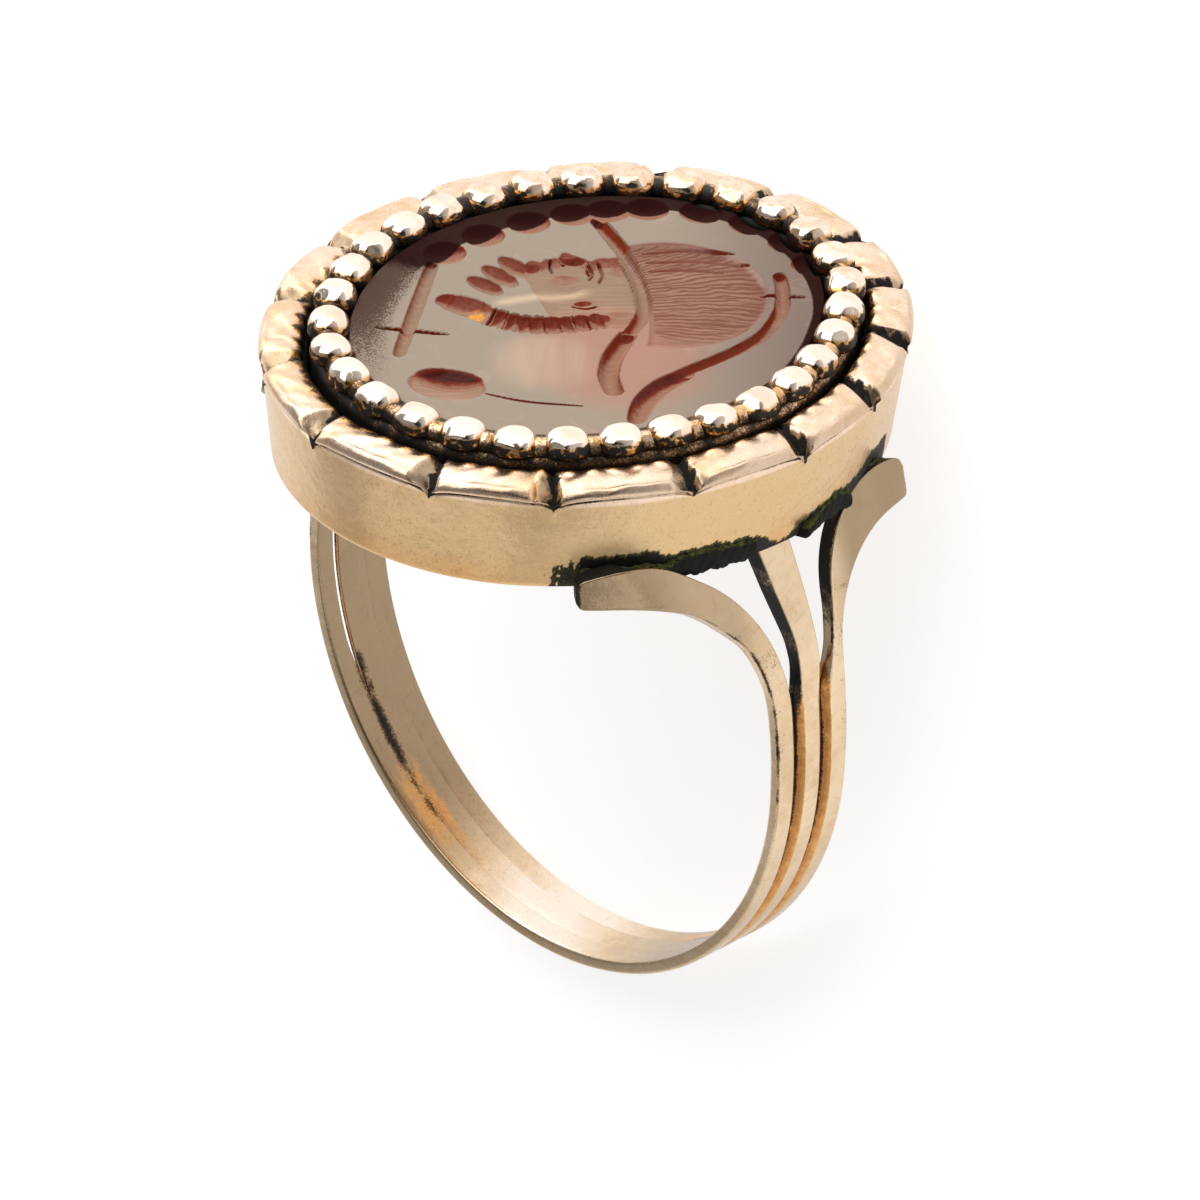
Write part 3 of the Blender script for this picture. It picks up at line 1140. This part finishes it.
stoneLook = {
    "grey": colour(146, 127, 106),
    "pink": colour(162, 112, 88),
    "brownish": colour(106, 76, 60),
    "milk": colour(204, 176, 142),
    "fan": colour(178, 148, 120),
    "soft": colour(154, 112, 92),
    "light": colour(190, 146, 122),   # walls of cuts that face away
    "red": colour(124, 46, 26),
    "deepRed": colour(66, 24, 20),
    "maroon": colour(42, 20, 20),
    "frosted": colour(72, 50, 42),
    "hair": colour(148, 98, 74),
    "hairLine": colour(104, 46, 30),
    "amber": colour(236, 156, 58),
}


def makeCarnelian():
    look = stoneLook
    made, shader, ring = newMaterial("polishedCarnelian", {
        "IOR": 1.54, "Specular IOR Level": 0.0, "Coat IOR": 1.54, "Coat Roughness": 0.05})
    x, y = ring.part(0), ring.part(1)
    u = x * figureCos + y * figureSin
    v = y * figureCos - x * figureSin
    edge, red, shade = (readPaint(ring, label) for label in ("cutEdge", "cutRed", "cutShade"))
    cloud = ring.grain(0.22, 3.0, 0.5, 0.6)
    wisp = ring.grain(0.8, 4.0, 0.6, 1.2)
    mottle = ring.grain(6.0, 3.0, 0.65)
    fine = ring.grain(30.0, 2.0, 0.6)

    # 1 in the middle of an ellipse, 0 at its edge and less outside it.
    def ellipse(middleU, middleV, longU, longV):
        return 1.0 - ((u - middleU) / longU) ** 2.0 - ((v - middleV) / longV) ** 2.0

    rosy = ellipse(0.8, -2.2, 3.2, 3.4) + (cloud - 0.5) * 0.9
    tone = blend(rosy.step(0.0, 0.9), look["grey"], look["pink"])

    # The right side is browner, and there are pale clouds inside the stone, with a soft fan below the beard.
    fan = ellipse(-1.35, -2.5, 1.75, 1.9).step(0.0, 0.9) * (-v - 0.9).step(0.0, 0.6)
    rays = ring.turned((0.0, 0.0, -0.773)).stretched((1.6, 0.16, 1.0)).grain(1.0, 2.0, 0.5, 0.4)
    for mask, layer in (((x * 0.5 + y * 0.5).step(1.0, 4.4) * 0.9, "brownish"),
                        ((fan * (0.3 + rays.step(0.3, 0.7) * 0.6)).clamped(), "fan"),
                        ((wisp - 0.55).step(0.0, 0.25) * 0.15, "milk")):
        tone = blend(mask, tone, look[layer])

    # Combed hair: fine uneven lines that fan out from the ribbon.
    front = (u - 1.66 + v * v * 0.05) / ((-v - 0.9).clamped() * 1.4 + 0.2)
    hair = readPaint(ring, "hair") * front.step(0.0, 1.0) * (v + 2.2 + (wisp - 0.5)).step(0.0, 1.4)
    fanOut = (v - 0.85) / (1.0 + (u - 1.7) * 0.2) + (u * 1.3).sine() * 0.1
    wander = ring.grain(1.3, 2.0, 0.5) * 0.3
    wave = ((fanOut + wander) * (2 * math.pi / stone["hairPitch"])).sine()
    turned = ring.turned((0.0, 0.0, math.radians(-stone["figureTurn"])))
    strength = turned.stretched((0.5, 5.0, 1.0)).grain(1.0, 3.0, 0.6)
    comb = wave.step(-0.3, 0.8) * strength.step(0.25, 0.5) * hair
    brushed = turned.stretched((0.6, 12.0, 1.0)).grain(1.0, 3.0, 0.7)
    crownEnd = (v - 2.0).step(0.0, 1.4) * 0.35 + (u - 4.0).step(0.0, 1.0) * 0.4

    # Cuts: dark red where a wall faces the front, rosy in the middle and pale where it faces away.
    inside = edge.step(0.0, 0.08) * (1.0 - hair * (1.0 - (red - 0.5).step(0.0, 0.2)))
    rim = edge.step(-0.1, 0.02) * (1.0 - edge.step(0.05, 0.3))
    farWall = (-shade + (mottle - 0.5) * 0.2).step(0.0, 0.5)
    nearWall = (shade + (fine - 0.5) * 0.2).step(0.05, 0.6)
    redness = red * 0.62 + farWall * 0.6 - nearWall * 0.3 + (mottle - 0.5) * 0.25
    # A pale streak, a glint in one lock, the frosted left edge and the dark far edge lie over the rest.
    streak = (1.0 - ((v - 1.34 - u * 0.31) / 0.34).size()).clamped()
    streak = streak * (u + 2.9).step(0.0, 0.8) * (0.5 - u).step(0.0, 0.8)
    glint = ellipse(-3.02, 0.22, 0.26, 0.4).clamped()
    frosting = readPaint(ring, "frost")
    frost = (frosting * 1.3 + (fine - 0.5) * 3.2 * frosting.step(0.0, 0.3)).step(0.25, 0.7)
    rimDark = (readPaint(ring, "rimDark") + (mottle - 0.5) * 0.3).step(0.25, 0.7)

    for mask, layer in (
            (hair * 0.75, "hair"),
            (hair * (brushed - 0.5).step(0.0, 0.2) * 0.3, "light"),
            ((comb * 0.75).highest(hair * (0.48 - brushed).step(0.0, 0.1) * 0.75), "hairLine"),
            (hair * crownEnd, "hairLine"),
            (inside * (redness * 2.2).clamped(), "soft"),
            (inside * nearWall * (0.35 + fine * 0.5).clamped(), "light"),
            (inside * (brushed - 0.48).step(0.0, 0.16) * 0.35, "light"),
            (inside * redness.step(0.42, 0.9), "red"),
            (inside * redness.step(0.85, 1.3), "deepRed"),
            (rim * (1.0 - hair) * (red.step(0.1, 0.7) * (1.0 - nearWall * 0.6) * 0.75), "red"),
            (streak.step(0.0, 1.0) * 0.75, "milk"),
            (glint.step(0.0, 0.6) * mottle.step(0.3, 0.55) * 0.95, "amber"),
            (frost * 0.9, "frosted"),
            (rimDark * 0.95, "maroon")):
        tone = blend(mask, tone, look[layer])
    tone.plug(shader, "Base Color")
    covered = (inside * 0.85).highest(frost * 0.9).highest(comb * 0.6).highest(rimDark).highest(hair * 0.6)
    (1.0 - covered).clamped().plug(shader, "Coat Weight")
    (0.25 + fine * 0.1 + inside * 0.15).clamped().plug(shader, "Roughness")
    height = fine * 0.02 + wisp * 0.03 + inside * mottle * 0.05 - comb * 0.08
    bump(height, 0.06, 0.5).plug(shader, "Normal")
    return made


carnelian = makeCarnelian()
engravedStone = makeStone()
finishPiece(engravedStone, carnelian, angle=35)
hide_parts("intaglio_stone")
print("stone ready")


view = {
    "azimuth": 44.378,    # direction of the camera in the ring's own frame
    "elevation": 31.742,
    "roll": 2.331,
    "distance": 432.065,
    "right": -0.716,      # how far the ring stands off the middle of the picture, in millimetres
    "up": -1.42,
    "scale": 36.205,      # pixels to the millimetre
    "pixels": 1200,
    "sensor": 36,
}


def placeCamera():
    az, el, roll = (math.radians(view[key]) for key in ("azimuth", "elevation", "roll"))
    back = Vector((math.sin(az) * math.cos(el), -math.cos(az) * math.cos(el), math.sin(el)))
    level = Vector((math.cos(az), math.sin(az), 0))
    upright = back.cross(level)
    right = math.cos(roll) * level + math.sin(roll) * upright
    up = -math.sin(roll) * level + math.cos(roll) * upright
    eye = back * view["distance"] - right * view["right"] - up * view["up"]
    axes = Matrix((right, up, back)).transposed()
    deselectAll()
    bpy.ops.object.camera_add()
    camera = bpy.context.object
    camera.name = "photoCamera"
    camera.matrix_world = Matrix.Translation(layDown @ eye) @ (layEuler.to_matrix() @ axes).to_4x4()
    camera.data.sensor_width = view["sensor"]
    camera.data.lens = view["scale"] * view["distance"] / view["pixels"] * view["sensor"]
    camera.data.clip_start, camera.data.clip_end = 0.01, 20
    bpy.context.scene.camera = camera


placeCamera()

lightTable = {"size": 4, "pale": (0.46, 0.46, 0.46, 1), "grey": (0.43, 0.43, 0.43, 1), "glow": 0.76}
deselectAll()
bpy.ops.mesh.primitive_plane_add(size=lightTable["size"], location=(0, 0, 0))
floor = bpy.context.object
floor.name = "floor"
floorMaterial, floorShader, floorRing = newMaterial("paleLightTable", {
    "Roughness": 0.5, "Specular IOR Level": 0.1, "Emission Color": (1, 1, 1, 1),
    "Emission Strength": lightTable["glow"]})
speckle = floorRing.grain(0.05, 2.0, 0.5)
blend(speckle * 0.3, lightTable["pale"], lightTable["grey"]).plug(floorShader, "Base Color")
floor.data.materials.append(floorMaterial)

# Soft lights, each with its direction, width, height, brightness and tint. Directions are in the
# model's frame: the picture's upper edge is towards +X, and the camera stands over -Y.
lampDistance = 0.5
softboxes = {
    "backBox": ((0.9, 0.42, 0.22), 0.55, 0.3, 1.5, (1.0, 0.99, 0.98)),
    "leftBox": ((0.5, 0.83, 0.2), 0.5, 0.22, 1.15, (1, 1, 1)),
    "tentBox": ((0.78, 0.2, 0.56), 0.46, 0.26, 1.4, (1.0, 0.985, 0.96)),
    "highBox": ((0.5, 0.13, 0.83), 0.5, 0.34, 1.8, (1, 1, 1)),
    "frontBox": ((-0.93, 0.0, 0.3), 0.5, 0.22, 0.5, (1.0, 0.98, 0.95)),
    "rightBox": ((-0.35, -0.9, 0.3), 0.16, 0.3, 0.85, (1, 1, 1)),
}
for name, (aim, width, height, brightness, tint) in softboxes.items():
    deselectAll()
    aim = Vector(aim).normalized()
    bpy.ops.object.light_add(type="AREA", location=aim * lampDistance)
    lamp = bpy.context.object
    lamp.name = name
    lamp.rotation_euler = aim.to_track_quat("Z", "Y").to_euler()
    lamp.data.shape = "RECTANGLE"
    lamp.data.size, lamp.data.size_y = width, height
    lamp.data.energy = brightness * math.pi * width * height
    lamp.data.color = tint

# The room is dim where the photographer stands, which leaves a small dark spot on each bead.
studio = {
    "horizon": 0.62,
    "zenith": 0.26,
    "tint": (1.0, 0.99, 0.98, 1),
    "dimSide": (0.213, -0.595, 0.775),
    "dimStart": 27.0,     # degrees off that side where the room begins to dim, and where it is darkest
    "dimFull": 15.0,
    "dimming": 0.9,
}
world = bpy.data.worlds.new("studio")
world.use_nodes = True
tree = world.node_tree
direction = Wire(tree, tree.nodes.new("ShaderNodeTexCoord").outputs["Generated"])
upward = direction.part(2).size()
glow = (1.0 - upward.step(0.0, 0.75)) * (studio["horizon"] - studio["zenith"]) + studio["zenith"]
toDim = direction.node("VectorMath", {"operation": "DOT_PRODUCT"},
                       {0: direction, 1: studio["dimSide"]}, out=1)
dim = toDim.step(*(math.cos(math.radians(studio[key])) for key in ("dimStart", "dimFull")))
background = tree.nodes["Background"]
background.inputs["Color"].default_value = studio["tint"]
(glow * (1.0 - dim * studio["dimming"])).plug(background, "Strength")
bpy.context.scene.world = world
bpy.context.scene.view_settings.view_transform = "Standard"
print("camera, floor and light ready")
